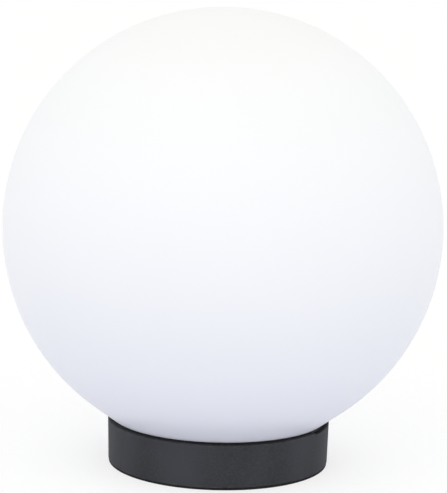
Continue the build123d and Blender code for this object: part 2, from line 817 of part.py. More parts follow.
with BuildPart() as terminal_block_fixing_screw:
    with Locations((-pole_pitch / 2, -block_offset, block_top)):
        add(screw(block_screw, block_top - floor_top + block_screw_bite))
save(terminal_block_fixing_screw.part, "terminal_block_fixing_screw")

# ---------------------------------------------------------------- leads and earth connection

lead_entry = block_front - (block_depth - insert_length) / 2 + lead_radius
lead_start = contact_bottom - slide_clearance
lead_approach = block_front + lead_straight
for name, start_x, end_x in (
    ("live_lead", -contact_offset, pole_places[0][0]),
    ("neutral_lead", contact_offset, pole_places[1][0]),
):
    save(
        lead(
            name,
            [
                (start_x, -contact_setback, lead_start),
                (start_x, -contact_setback, wire_level + 2 * lead_radius),
                (end_x, lead_approach, wire_level),
                (end_x, lead_entry, wire_level),
            ],
            [lead_drop_bend, lead_entry_bend],
        ),
        name,
    )

lug_top = bracket_underside
lug_level = lug_top - lug_barrel_radius
earth_pole = pole_places[2][0]
save(
    lead(
        "earth_lead",
        [
            (earth_screw_offset, -lug_barrel_start - lug_barrel_length / 2, lug_level),
            (earth_screw_offset, -bracket_width / 2 - earth_lead_overhang, lug_level),
            (earth_pole, block_front + earth_lead_straight, wire_level),
            (earth_pole, lead_entry, wire_level),
        ],
        [earth_lead_bend, earth_lead_bend],
    ),
    "earth_lead",
)

# A crimped ring lug under the bracket, with its barrel towards the terminal block.
with BuildPart() as earth_ring_terminal:
    with BuildSketch(Plane.XY.offset(lug_top)):
        with Locations((earth_screw_offset, 0)):
            Circle(lug_radius)
        with Locations((earth_screw_offset, -(lug_barrel_start + lug_barrel_root) / 2)):
            Rectangle(2 * lug_barrel_radius, lug_barrel_start + lug_barrel_root)
        with Locations((earth_screw_offset, 0)):
            Circle(earth_screw_size[0] + slide_clearance, mode=Mode.SUBTRACT)
    extrude(amount=-lug_thickness)
    with BuildSketch(Plane.XZ.offset(lug_barrel_start)):
        with Locations((earth_screw_offset, lug_level)):
            Circle(lug_barrel_radius)
            Circle(lead_radius + screw_clearance, mode=Mode.SUBTRACT)
    extrude(amount=lug_barrel_length)
save(earth_ring_terminal.part, "earth_ring_terminal")

with BuildPart() as earth_washer:
    with BuildSketch(Plane.XY.offset(lug_top - lug_thickness)):
        with Locations((earth_screw_offset, 0)):
            Circle(washer_radius)
            Circle(earth_screw_size[0] + slide_clearance, mode=Mode.SUBTRACT)
    extrude(amount=-washer_thickness)
save(earth_washer.part, "earth_washer")

earth_head_seat = lug_top - lug_thickness - washer_thickness
with BuildPart() as earth_screw:
    with Locations(Location((earth_screw_offset, 0, earth_head_seat), (180, 0, 0))):
        add(screw(earth_screw_size, bracket_top - earth_head_seat + bracket_thickness))
save(earth_screw.part, "earth_screw")

# ---------------------------------------------------------------- bulb

# A silicone ring round the bulb's collar. It seals the mouth of the holder.
with BuildPart() as bulb_seal_ring:
    with BuildSketch(Plane.XY.offset(holder_rim + seat_gap)):
        Circle(holder_radius)
        Circle(bulb_collar_radius + slide_clearance, mode=Mode.SUBTRACT)
    extrude(amount=bulb_ring_thickness)
save(bulb_seal_ring.part, "bulb_seal_ring")

insulator_bottom = tip + tip_height / 2
insulator_top = insulator_bottom + insulator_height
with BuildPart() as bulb_tip_contact:
    with BuildSketch(Plane.XY.offset(tip)):
        Circle(tip_radius)
    extrude(amount=tip_height / 2)
    fillet(bulb_tip_contact.faces().sort_by(Axis.Z)[0].edges(), tip_edge_radius)
save(bulb_tip_contact.part, "bulb_tip_contact")

with BuildPart() as bulb_cap_insulator:
    with BuildSketch(Plane.XY.offset(insulator_bottom)):
        Circle(insulator_lower_radius)
    with BuildSketch(Plane.XY.offset(insulator_top)):
        Circle(cap_radius)
    loft()
save(bulb_cap_insulator.part, "bulb_cap_insulator")

cap_bore_radius = cap_radius - cap_wall
with BuildPart() as bulb_cap_shell:
    with BuildSketch(Plane.XY.offset(insulator_top)):
        Circle(cap_radius)
        Circle(cap_bore_radius, mode=Mode.SUBTRACT)
    extrude(amount=cap_top - insulator_top)
    add(
        thread_ridge(
            cap_radius,
            cap_thread_depth,
            cap_thread_root_width,
            cap_thread_crest_width,
            cap_thread_pitch,
            cap_thread_turns,
            cap_thread_start,
        )
    )
save(bulb_cap_shell.part, "bulb_cap_shell")

# The bulb's plastic housing: a spigot inside the cap, a collar, and a cone that widens to the diffuser.
spigot_radius = cap_bore_radius - slide_clearance / 2
collar_top = cap_top + bulb_collar_height
housing_cone_top = housing_top - bulb_housing_rim_height
with BuildPart() as bulb_housing:
    with BuildSketch(Plane.XZ):
        with BuildLine():
            Polyline(
                (spigot_radius, cap_top - bulb_spigot_length),
                (spigot_radius, cap_top),
                (bulb_collar_radius, cap_top),
                (bulb_collar_radius, collar_top),
                (bulb_housing_top_radius, housing_cone_top),
                (bulb_housing_top_radius, housing_top),
                (bulb_housing_top_radius - bulb_wall, housing_top),
                (bulb_housing_top_radius - bulb_wall, housing_cone_top + bulb_wall / 2),
                (bulb_collar_radius - bulb_wall, collar_top + bulb_wall / 2),
                (bulb_collar_radius - bulb_wall, cap_top + bulb_wall),
                (spigot_radius - bulb_spigot_wall, cap_top + bulb_wall),
                (spigot_radius - bulb_spigot_wall, cap_top - bulb_spigot_length),
                close=True,
            )
        make_face()
    revolve(axis=Axis.Z)
save(bulb_housing.part, "bulb_housing")

# The aluminium cup inside the housing, which takes the heat of the board on its flat top.
housing_slope = (bulb_housing_top_radius - bulb_collar_radius) / (housing_cone_top - collar_top)
housing_bore_at_plate = bulb_housing_top_radius - bulb_wall - housing_slope * (bulb_wall / 2 + heat_sink_plate)
sink_radius = housing_bore_at_plate - slide_clearance
sink_foot_radius = bulb_collar_radius - bulb_wall - slide_clearance
sink_top = housing_top - bulb_housing_rim_height
sink_slope_top = sink_top - heat_sink_plate
with BuildPart() as bulb_heat_sink:
    with BuildSketch(Plane.XZ):
        with BuildLine():
            Polyline(
                (sink_foot_radius, collar_top + bulb_wall),
                (sink_radius, sink_slope_top),
                (sink_radius, sink_top),
                (heat_sink_vent_radius, sink_top),
                (heat_sink_vent_radius, sink_slope_top),
                (sink_radius - 2 * heat_sink_wall, sink_slope_top),
                (sink_foot_radius - heat_sink_wall, collar_top + bulb_wall),
                close=True,
            )
        make_face()
    revolve(axis=Axis.Z)
    with BuildSketch(Plane.XY.offset(sink_top)):
        with Locations((-board_screw_offset, 0), (board_screw_offset, 0)):
            Circle(board_screw[0] + screw_clearance)
    extrude(amount=-heat_sink_plate, mode=Mode.SUBTRACT)
save(bulb_heat_sink.part, "bulb_heat_sink")

board_top = sink_top + led_board_thickness
skirt_radius = bulb_housing_top_radius - bulb_wall - slide_clearance
led_board_radius = skirt_radius - diffuser_wall - led_board_margin
with BuildPart() as bulb_led_board:
    with BuildSketch(Plane.XY.offset(sink_top)):
        Circle(led_board_radius)
        Circle(led_board_hole_radius, mode=Mode.SUBTRACT)
        with Locations((-board_screw_offset, 0), (board_screw_offset, 0)):
            Circle(board_screw[0] + slide_clearance, mode=Mode.SUBTRACT)
    extrude(amount=led_board_thickness)
save(bulb_led_board.part, "bulb_led_board")

with BuildPart() as bulb_leds:
    with BuildSketch(Plane.XY.offset(board_top)):
        with PolarLocations(led_ring_radius, led_count):
            Rectangle(led_width, led_length)
    extrude(amount=led_height)
save(bulb_leds.part, "bulb_leds")

with BuildPart() as bulb_board_screws:
    with Locations((-board_screw_offset, 0, board_top), (board_screw_offset, 0, board_top)):
        add(screw(board_screw, led_board_thickness + heat_sink_plate + board_screw_overrun))
save(bulb_board_screws.part, "bulb_board_screws")

# The driver stands upright in the spigot and the heat sink's hollow.
driver_bottom = cap_top - bulb_spigot_length / 2
driver_face = driver_board_thickness / 2
driver_board_height = sink_slope_top - driver_board_gap - driver_bottom
driver_board_width = 2 * (spigot_radius - bulb_spigot_wall - slide_clearance)
with BuildPart() as bulb_driver_board:
    with BuildSketch(Plane.XY.offset(driver_bottom)):
        Rectangle(driver_board_width, driver_board_thickness)
    extrude(amount=driver_board_height)
save(bulb_driver_board.part, "bulb_driver_board")

with BuildPart() as bulb_driver_capacitor:
    with BuildSketch(Plane.XY.offset(driver_bottom + driver_board_height / 2)):
        with Locations((0, driver_face + capacitor_radius)):
            Circle(capacitor_radius)
    extrude(amount=capacitor_length)
save(bulb_driver_capacitor.part, "bulb_driver_capacitor")

with BuildPart() as bulb_driver_coil:
    with BuildSketch(Plane.XY.offset(driver_bottom + driver_board_height / 2)):
        with Locations((0, -driver_face - coil_depth / 2)):
            Rectangle(coil_width, coil_depth)
    extrude(amount=coil_height)
save(bulb_driver_coil.part, "bulb_driver_coil")

# The frosted diffuser: most of a ball, drawn in through a cone to a skirt inside the housing's rim.
diffuser_drop = bulb_centre - housing_top
diffuser_cone = cone_angle(bulb_ball_radius, bulb_housing_top_radius, diffuser_drop)
diffuser_inner = bulb_ball_radius - diffuser_wall
diffuser_sweep = 180 - degrees(diffuser_cone)
diffuser_foot = cone_radius(diffuser_inner, diffuser_cone, diffuser_drop - diffuser_wall)
with BuildPart() as bulb_diffuser:
    with BuildSketch(Plane.XZ):
        with BuildLine():
            outside = CenterArc((0, bulb_centre), bulb_ball_radius, degrees(diffuser_cone) - 90, diffuser_sweep)
            Polyline(
                outside @ 0,
                (bulb_housing_top_radius, housing_top),
                (skirt_radius, housing_top),
                (skirt_radius, housing_top - diffuser_skirt),
                (skirt_radius - diffuser_wall, housing_top - diffuser_skirt),
                (skirt_radius - diffuser_wall, housing_top + diffuser_wall),
                (diffuser_foot, housing_top + diffuser_wall),
                (diffuser_inner * sin(diffuser_cone), bulb_centre - diffuser_inner * cos(diffuser_cone)),
            )
            hollow = CenterArc((0, bulb_centre), diffuser_inner, degrees(diffuser_cone) - 90, diffuser_sweep)
            Line(hollow @ 1, outside @ 1)
        make_face()
    revolve(axis=Axis.Z)
save(bulb_diffuser.part, "bulb_diffuser")

print("globe centre", round(globe_centre, 2), "top", round(globe_centre + globe_radius, 2))
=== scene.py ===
from math import acos, atan2, cos, hypot, pi, radians, sin

import bpy
import numpy as np
from mathutils import Matrix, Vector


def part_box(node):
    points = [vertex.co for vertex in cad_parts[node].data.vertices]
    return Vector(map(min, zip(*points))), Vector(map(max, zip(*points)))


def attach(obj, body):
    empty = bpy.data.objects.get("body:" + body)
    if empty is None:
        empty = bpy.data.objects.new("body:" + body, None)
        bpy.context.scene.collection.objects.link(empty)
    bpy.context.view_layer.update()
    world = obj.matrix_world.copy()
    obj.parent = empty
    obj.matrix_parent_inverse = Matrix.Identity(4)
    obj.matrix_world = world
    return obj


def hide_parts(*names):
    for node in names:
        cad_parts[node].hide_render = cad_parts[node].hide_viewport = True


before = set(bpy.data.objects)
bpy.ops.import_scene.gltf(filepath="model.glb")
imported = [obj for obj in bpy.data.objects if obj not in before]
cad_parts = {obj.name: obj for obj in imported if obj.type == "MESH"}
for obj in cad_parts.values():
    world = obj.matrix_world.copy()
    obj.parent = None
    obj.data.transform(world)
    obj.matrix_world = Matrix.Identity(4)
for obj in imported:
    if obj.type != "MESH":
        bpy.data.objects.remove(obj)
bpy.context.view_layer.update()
scene = bpy.context.scene
scene.view_settings.view_transform = "Standard"

# ---------------------------------------------------------------- camera
# The camera stands a metre in front of the light and a little above the top of its globe. It looks about
# nine degrees down and leans by about one.
camera_place = (0.0, -0.990, 0.27724)
camera_down, camera_yaw, camera_roll = 8.725, -0.034, 1.342
sensor_width, lens_length = 36.0, 127.886
nearest, farthest = 0.05, 60.0

camera_data = bpy.data.cameras.new("photo_camera")
camera_data.sensor_width = sensor_width
camera_data.lens = lens_length
camera_data.clip_start = nearest
camera_data.clip_end = farthest
camera = bpy.data.objects.new("photo_camera", camera_data)
scene.collection.objects.link(camera)
camera.matrix_world = (
    Matrix.Translation(camera_place)
    @ Matrix.Rotation(radians(camera_yaw), 4, "Z")
    @ Matrix.Rotation(radians(90.0 - camera_down), 4, "X")
    @ Matrix.Rotation(radians(camera_roll), 4, "Z")
)
scene.camera = camera

# ---------------------------------------------------------------- floor and studio light
# A pale floor in a white room. The room's soft light is strongest from the walls and warmer in front. One
# large soft lamp hangs above, to the left and in front. To the eye and in reflections the room is white.
floor_half_size = 15.0
floor_colour, floor_seen, floor_lift = (0.73, 0.74, 0.89), (0.36, 0.36, 0.36), 0.66
room_colour, front_colour, plain_white = (0.95, 0.965, 0.95), (1.00, 0.95, 0.84), (1.0, 1.0, 1.0)
room_light, wall_light, front_light = 0.575, 0.655, 0.23
front_side = (-0.06, -0.88, 0.46)
lamp_place, lamp_turn, lamp_tilt = (-0.4, -1.6, 1.9), -14.0, 43.0
lamp_size, lamp_power, lamp_colour = 2.4, 2.7, (1.0, 0.965, 0.86)


class Wire:
    """A value in a finish. Sums written on it add the Math nodes that work them out."""

    def __init__(self, finish, socket):
        self.finish = finish
        self.socket = socket

    def maths(self, operation, *terms):
        return self.finish.node("ShaderNodeMath", {"operation": operation}, dict(enumerate(terms)))

    def __add__(self, other):
        return self.maths("ADD", self, other)

    def __radd__(self, other):
        return self.maths("ADD", other, self)

    def __sub__(self, other):
        return self.maths("SUBTRACT", self, other)

    def __rsub__(self, other):
        return self.maths("SUBTRACT", other, self)

    def __mul__(self, other):
        return self.maths("MULTIPLY", self, other)

    def __rmul__(self, other):
        return self.maths("MULTIPLY", other, self)

    def __truediv__(self, other):
        return self.maths("DIVIDE", self, other)

    def __rtruediv__(self, other):
        return self.maths("DIVIDE", other, self)

    def __pow__(self, other):
        return self.maths("POWER", self, other)

    def __rpow__(self, other):
        return self.maths("POWER", other, self)

    def __abs__(self):
        return self.maths("ABSOLUTE", self)

    def at_least(self, other):
        return self.maths("MAXIMUM", self, other)

    def step(self, start, end):
        """0 before start and 1 after end, with a smooth rise between. With start past end it falls."""
        low, high, first, last = (start, end, 0.0, 1.0) if start < end else (end, start, 1.0, 0.0)
        settings = {"interpolation_type": "SMOOTHSTEP"}
        sockets = {0: self, 1: low, 2: high, 3: first, 4: last}
        return self.finish.node("ShaderNodeMapRange", settings, sockets)


class Finish:
    """A material, or the room, worked out from its nodes. Patterns are in metres on the piece itself."""

    def __init__(self, name, kind="materials"):
        self.owner = getattr(bpy.data, kind).new(name)
        self.owner.use_nodes = True
        self.tree = self.owner.node_tree
        self.tree.nodes.clear()

    def node(self, kind, settings=None, sockets=None, output=0):
        """Adds a node: its settings first, then the values or wires of its sockets."""
        made = self.tree.nodes.new(kind)
        for setting, value in (settings or {}).items():
            setattr(made, setting, value)
        for socket, value in (sockets or {}).items():
            if isinstance(value, Wire):
                self.tree.links.new(value.socket, made.inputs[socket])
            elif isinstance(value, tuple) and made.inputs[socket].type == "RGBA":
                made.inputs[socket].default_value = (*value, 1.0)
            else:
                made.inputs[socket].default_value = value
        return Wire(self, made.outputs[output]) if made.outputs else None

    def end(self, shader, kind="ShaderNodeOutputMaterial"):
        """Makes that shader the one which is seen."""
        self.node(kind, None, {0: shader})

    def surface(self, **sockets):
        """Ends the material in one plain physical surface."""
        named = {socket.replace("_", " "): value for socket, value in sockets.items()}
        self.end(self.node("ShaderNodeBsdfPrincipled", None, named))
        return self.owner

    def place(self):
        """The point on the piece, in metres."""
        return self.node("ShaderNodeTexCoord", output=3)

    def axes(self, vector=None):
        """The three coordinates of a vector, or else of the point on the piece."""
        vector = vector or self.place()
        return [self.node("ShaderNodeSeparateXYZ", None, {0: vector}, output=k) for k in range(3)]

    def grain(self, size, detail=3.0, rough=0.5, stretch=(1.0, 1.0, 1.0), shift=0.0):
        """Cloudy noise from 0 to 1, with blotches of that size in metres."""
        moved = {0: self.place(), 1: (shift, shift, shift), 3: stretch}
        vector = self.node("ShaderNodeMapping", None, moved)
        sockets = {"Vector": vector, "Scale": 1.0 / size, "Detail": detail, "Roughness": rough}
        return self.node("ShaderNodeTexNoise", None, sockets)

    def mix(self, amount, first, second):
        """Colours mixed by an amount from 0 to 1."""
        sockets = {0: amount, 6: first, 7: second}
        return self.node("ShaderNodeMix", {"data_type": "RGBA"}, sockets, output=2)

    def blend(self, amount, first, second):
        """Shaders mixed by an amount from 0 to 1."""
        return self.node("ShaderNodeMixShader", None, {0: amount, 1: first, 2: second})

    def glow(self, colour, strength):
        """The room's light, of that colour and strength."""
        return self.node("ShaderNodeBackground", None, {0: colour, 1: strength})

    def bump(self, height, distance, strength=1.0):
        """A relief of that height pattern, as deep as the distance in metres."""
        sockets = {"Height": height, "Distance": distance, "Strength": strength}
        return self.node("ShaderNodeBump", None, sockets)

    def seen_plainly(self):
        """1 for what the eye, a reflection or a clear piece shows, 0 for what lights the pieces."""
        eye, reflection, clear = [self.node("ShaderNodeLightPath", output=k) for k in (0, 3, 6)]
        return eye.at_least(reflection).at_least(clear)


room = Finish("white_room", "worlds")
scene.world = room.owner
plain = room.seen_plainly()
towards = room.node("ShaderNodeTexCoord")
sockets = {0: towards, 1: front_side}
facing = room.node("ShaderNodeVectorMath", {"operation": "DOT_PRODUCT"}, sockets, output=1)
height = room.axes(towards)[2]
walls = 1 - height * height
even = room.glow(room_colour, room_light + wall_light * walls)
front = room.glow(front_colour, front_light * facing.at_least(0.0))
light = room.node("ShaderNodeAddShader", None, {0: even, 1: front})
white = room.glow(plain_white, 1.0)
room.end(room.blend(plain, light, white), "ShaderNodeOutputWorld")

pale = Finish("pale_floor")
seen = pale.seen_plainly()
paper = pale.node("ShaderNodeBsdfDiffuse", None, {0: pale.mix(seen, floor_colour, floor_seen)})
lift = pale.node("ShaderNodeEmission", None, {0: plain_white, 1: seen * floor_lift})
above = pale.node("ShaderNodeAddShader", None, {0: paper, 1: lift})
below = pale.node("ShaderNodeBsdfTransparent")
underneath = pale.node("ShaderNodeNewGeometry", output=6)
pale.end(pale.blend(underneath, above, below))
corners = np.array([(-1, -1, 0), (1, -1, 0), (1, 1, 0), (-1, 1, 0)]) * floor_half_size
floor_mesh = bpy.data.meshes.new("studio_floor")
floor_mesh.from_pydata(corners, [], [(0, 1, 2, 3)])
floor_mesh.materials.append(pale.owner)
floor = bpy.data.objects.new("studio_floor", floor_mesh)
scene.collection.objects.link(floor)

lamp_data = bpy.data.lights.new("soft_lamp", "AREA")
lamp_data.shape = "DISK"
lamp_data.size = lamp_size
lamp_data.energy = lamp_power
lamp_data.color = lamp_colour
lamp = bpy.data.objects.new("soft_lamp", lamp_data)
scene.collection.objects.link(lamp)
lamp.matrix_world = (
    Matrix.Translation(lamp_place)
    @ Matrix.Rotation(radians(lamp_turn), 4, "Z")
    @ Matrix.Rotation(radians(lamp_tilt), 4, "X")
)

# ---------------------------------------------------------------- globe
# A blown ball of opal acrylic, 250 mm across with a 3 mm wall. It runs out in a short cone to a shoulder
# over the base, and its threaded neck goes down inside the base's collar.
globe_radius, globe_wall, globe_middle = 0.125, 0.003, 0.1362251
shoulder_radius, shoulder_level, shoulder_edge = 0.0617, 0.0264, 0.0006
neck_radius, neck_end = 0.0573, 0.0100
thread_start, thread_pitch, thread_turns, thread_entry = 0.0117, 0.006, 1.25, radians(20.0)
thread_depth, thread_root, thread_crest, thread_fade = 0.0014, 0.0026, 0.0014, radians(14.0)
around, ball_rows, corner_rows, neck_rows, inside_rows = 320, 130, 7, 90, 60
sharp_angle = radians(32.0)


def lathe(name, radius, height):
    """Turns rows round +Z: the point at (row, angle) is (radius cos angle, radius sin angle, height). Each
    row has one height and a radius for every angle. A first or last row of radius 0 closes to one point."""
    rows, around = radius.shape
    angle = np.linspace(0.0, 2 * pi, around, endpoint=False)
    level = np.broadcast_to(height[:, None], radius.shape)
    points = np.stack([radius * np.cos(angle), radius * np.sin(angle), level], axis=-1).reshape(-1, 3)
    first, last = int(radius[0].max() == 0), rows - int(radius[-1].max() == 0)
    used = np.zeros(rows * around, bool)
    used[first * around : last * around] = True
    used[[0, (rows - 1) * around]] = True
    place = np.cumsum(used) - 1
    ring = np.arange(around)
    beside = (ring + 1) % around
    row = np.arange(first, last - 1)[:, None] * around
    below = row + around
    quads = np.stack([row + ring, below + ring, below + beside, row + beside], axis=-1).reshape(-1, 4)
    faces = place[quads].tolist()
    if first:
        faces += place[np.stack([0 * ring, around + ring, around + beside], axis=-1)].tolist()
    if last < rows:
        end = (rows - 2) * around
        faces += place[np.stack([end + ring, 0 * ring + end + around, end + beside], axis=-1)].tolist()
    mesh = bpy.data.meshes.new(name)
    mesh.from_pydata(points[used], [], faces)
    return mesh


def thread(angle, height):
    """How far the neck's thread stands out at (angle, height). Its middle climbs one pitch a turn. Across,
    it is a trapezoid with a wide root and a narrow crest, and its depth fades to nothing at both ends."""
    turned = (angle - thread_entry) / (2 * pi) % 1.0
    out = 0.0
    for lap in range(int(np.ceil(thread_turns))):
        along = turned + lap
        across = np.abs(height - thread_start - thread_pitch * along)
        rise = np.clip((thread_root / 2 - across) / ((thread_root - thread_crest) / 2), 0.0, 1.0)
        from_end = np.minimum(along, thread_turns - along) * 2 * pi
        out = np.maximum(out, thread_depth * rise * np.clip(from_end / thread_fade, 0.0, 1.0))
    return out


def arc(radius, angle):
    """Points on a circle round the globe's middle, at that angle from straight up."""
    return np.stack([radius * np.sin(angle), globe_middle + radius * np.cos(angle)], axis=1)


# The cone's line touches the ball at this angle from straight down. Inside, it is one wall further in.
drop = globe_middle - shoulder_level
cone = atan2(shoulder_radius, drop) + acos(globe_radius / hypot(shoulder_radius, drop))
inner_radius = globe_radius - globe_wall
inside_level = shoulder_level + globe_wall
inside_shoulder = (inner_radius - (globe_middle - inside_level) * cos(cone)) / sin(cone)
mouth = neck_radius - globe_wall
# The shoulder's edge bends from before to after the corner, along a curve with its control point there.
corner = np.array([shoulder_radius, shoulder_level])
before = corner + np.array([cos(cone), sin(cone)]) * shoulder_edge
after = corner - np.array([1.0, 0.0]) * shoulder_edge
bend = np.linspace(0.0, 1.0, corner_rows)[:, None]
levels = np.linspace(shoulder_level, neck_end, neck_rows)
# The profile goes from the top down the outside, round the shoulder, down the neck and up the inside.
profile = np.concatenate(
    [
        arc(globe_radius, np.linspace(0.0, pi - cone, ball_rows)),
        (1 - bend) ** 2 * before + 2 * bend * (1 - bend) * corner + bend**2 * after,
        np.stack([np.full(neck_rows, neck_radius), levels], axis=1),
        [[mouth, neck_end], [mouth, inside_level], [inside_shoulder, inside_level]],
        arc(inner_radius, np.linspace(pi - cone, 0.0, inside_rows)),
    ]
)
angle = np.linspace(0.0, 2 * pi, around, endpoint=False)
radius = np.repeat(profile[:, :1], around, axis=1)
neck = slice(ball_rows + corner_rows, ball_rows + corner_rows + neck_rows)
radius[neck] += thread(angle[None, :], levels[:, None])

opal = Finish("opal_acrylic")
milk = opal.grain(0.09, 2.0)
skin = opal.grain(0.011, 2.0)
opal_acrylic = opal.surface(
    Base_Color=opal.mix(milk, (0.930, 0.934, 0.936), (0.948, 0.951, 0.953)),
    Roughness=0.36 + 0.05 * skin,
    Specular_IOR_Level=0.30,
    Normal=opal.bump(skin, 0.00003),
)
globe_mesh = lathe("globe_shell", radius, profile[:, 1])
globe_mesh.shade_smooth()
globe_mesh.set_sharp_from_angle(angle=sharp_angle)
globe_mesh.materials.append(opal_acrylic)
globe = bpy.data.objects.new("globe_shell", globe_mesh)
scene.collection.objects.link(globe)
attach(globe, "globe")
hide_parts("globe")

# ---------------------------------------------------------------- globe gasket
# A flat black rubber ring, stretched over the neck and pressed on the base's rim by the globe's shoulder.
# It keeps the rain out. The grommet in the base's floor, for the cable, is of the same rubber.


def dress(material, *nodes):
    """Gives pieces of the model their finish."""
    for node in nodes:
        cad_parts[node].material_slots[0].material = material


rubber = Finish("black_rubber")
bloom = rubber.grain(0.012, 4.0)
pits = rubber.grain(0.0007, 3.0, 0.6)
black_rubber = rubber.surface(
    Base_Color=rubber.mix(bloom.step(0.35, 0.75), (0.010, 0.010, 0.011), (0.019, 0.019, 0.020)),
    Roughness=0.62 + 0.16 * pits,
    Specular_IOR_Level=0.35,
    Normal=rubber.bump(pits, 0.00005),
)
dress(black_rubber, "globe_gasket", "cable_grommet")

# ---------------------------------------------------------------- base
# One low drum moulded in black plastic with a fine spark-eroded grain, with its bosses, ribs, thread and a
# short notch in its rim, for lifting the gasket. Its edges are rubbed paler. Streaks of paler and darker
# tone run up its side, partly the moulding's own tone and partly painted soft reflections. The floor of the
# notch is painted near black, as painted shade, darkest on its inner side by the gasket.
top_rub_from, top_rub_to, top_rub_inside, top_rub_outside = 0.0240, 0.0253, 0.0628, 0.0639
foot_rub_from, foot_rub_to, foot_rub_inside, foot_rub_outside = 0.0026, 0.0013, 0.0624, 0.0634
notch_middle, notch_half, notch_end = radians(-16.0), radians(15.0), 0.005
notch_floor, notch_inside, notch_outside = 0.0244, 0.0622, 0.0638
notch_shade_ends, notch_shade_full = 0.0004, 0.0002

moulded = Finish("black_moulded_plastic")
x, y, z = moulded.axes()
grit = moulded.grain(0.0011, 3.0, 0.65)
fine_grit = moulded.grain(0.00045, 2.0, 0.5)
# Partly painted soft reflections: vertical streaks of paler and darker tone, as well as the moulding's own
# tone.
tone_and_reflection_streaks = moulded.grain(0.045, 2.0, 0.5, (1.0, 1.0, 0.3), 0.117)
out = (x * x + y * y) ** 0.5
top_edge = z.step(top_rub_from, top_rub_to) * out.step(top_rub_inside, top_rub_outside)
foot_edge = z.step(foot_rub_from, foot_rub_to) * out.step(foot_rub_inside, foot_rub_outside)
rub = top_edge.at_least(foot_edge) * moulded.grain(0.006, 4.0, 0.6).step(0.42, 0.68)
# Painted shade: the floor of the notch is darkened to near black, darkest on its inner side.
beside_notch = (x * cos(notch_middle) + y * sin(notch_middle)) / out
in_notch = beside_notch.step(cos(notch_half + notch_end), cos(notch_half - notch_end))
on_floor = abs(z - notch_floor).step(notch_shade_ends, notch_shade_full)
painted_notch_shade = in_notch * on_floor * out.step(notch_outside, notch_inside)
body_and_reflection_colour = moulded.mix(tone_and_reflection_streaks.step(0.30, 0.66), (0.025, 0.026, 0.029), (0.047, 0.048, 0.055))
grain_colour = moulded.mix(0.75 * grit.step(0.35, 0.75), body_and_reflection_colour, (0.052, 0.053, 0.058))
rubbed_colour = moulded.mix(rub * 0.5, grain_colour, (0.075, 0.076, 0.080))
black_moulded_plastic = moulded.surface(
    Base_Color=moulded.mix(painted_notch_shade, rubbed_colour, (0.003, 0.003, 0.004)),
    Roughness=0.68 + 0.14 * grit - 0.10 * rub,
    Specular_IOR_Level=0.25,
    Normal=moulded.bump(grit * 0.7 + fine_grit * 0.3, 0.00007, 0.8),
)
dress(black_moulded_plastic, "base_housing")

# ---------------------------------------------------------------- seal under the base
# A ring of black closed-cell foam stuck under the base. The light stands on it, and it closes the gap to
# the pillar.
cells_per_metre = 1300.0

foam = Finish("foam_rubber")
sockets = {"Vector": foam.place(), "Scale": cells_per_metre}
cells = foam.node("ShaderNodeTexVoronoi", {"feature": "SMOOTH_F1"}, sockets)
foam_rubber = foam.surface(
    Base_Color=foam.mix(cells.step(0.1, 0.8), (0.009, 0.009, 0.010), (0.024, 0.024, 0.025)),
    Roughness=0.86,
    Specular_IOR_Level=0.2,
    Normal=foam.bump(1 - cells, 0.00015, 0.9),
)
dress(foam_rubber, "base_seal")

# ---------------------------------------------------------------- steel bracket and screws
# The lampholder's bracket is pressed from zinc-plated steel strip. The screws are zinc-plated too, with pan
# heads and crossed slots.
zinc = Finish("zinc_plated_steel")
tint = zinc.grain(0.008, 3.0)
rolled = zinc.grain(0.0006, 3.0, 0.6, (0.12, 1.0, 1.0))
zinc_plated_steel = zinc.surface(
    Base_Color=zinc.mix(tint, (0.62, 0.64, 0.67), (0.70, 0.69, 0.66)),
    Metallic=1.0,
    Roughness=0.26 + 0.14 * rolled + 0.08 * tint,
    Normal=zinc.bump(rolled + zinc.grain(0.0003, 2.0) * 0.4, 0.00002, 0.6),
)
dress(
    zinc_plated_steel,
    "lampholder_bracket",
    "bracket_screws",
    "lampholder_fixing_screws",
    "lampholder_terminal_screws",
    "terminal_block_screws",
    "terminal_block_fixing_screw",
    "earth_washer",
    "earth_screw",
)

# ---------------------------------------------------------------- lampholder
# A cup of white thermoset plastic over a core of steatite, an unglazed ceramic that carries the live parts.
# Two screws from under the bracket hold both.


def moulded_white(name, shade, deep, rough, speck=0.0004, relief=0.00002, **more):
    """Pale moulded plastic or ceramic: faint clouds, fine specks, and a skin that isn't quite even."""
    finish = Finish(name)
    clouds = finish.grain(0.014, 3.0)
    specks = finish.grain(speck, 2.0, 0.6)
    colour = finish.mix(clouds, shade, deep)
    speck_colour = tuple(0.72 * part for part in deep)
    return finish.surface(
        Base_Color=finish.mix(specks.step(0.66, 0.78) * 0.35, colour, speck_colour),
        Roughness=rough + 0.08 * specks,
        Normal=finish.bump(specks, relief),
        **more,
    )


white_thermoset = moulded_white("white_thermoset", (0.80, 0.79, 0.75), (0.76, 0.74, 0.69), 0.34)
steatite = moulded_white("steatite", (0.84, 0.81, 0.74), (0.77, 0.73, 0.65), 0.70, 0.0006, 0.00006)
dress(white_thermoset, "lampholder_body")
dress(steatite, "lampholder_core")

# ---------------------------------------------------------------- screw shell and contacts
# The shell is drawn in thin brass and nickel plated, with a rolled thread. Two rivets hold it on the core.
# The contacts, rivets and terminal inserts are plain brass.


def metal(name, bright, dull, rough, size=0.004, drawn=(1.0, 1.0, 0.1)):
    """Bare metal: a tone that drifts between bright and dull, and fine drawn lines."""
    finish = Finish(name)
    patches = finish.grain(size, 4.0, 0.6)
    lines = finish.grain(0.0005, 3.0, 0.6, drawn)
    return finish.surface(
        Base_Color=finish.mix(patches.step(0.3, 0.75), bright, dull),
        Metallic=1.0,
        Roughness=rough + 0.12 * lines + 0.10 * patches,
        Normal=finish.bump(lines, 0.00002, 0.5),
    )


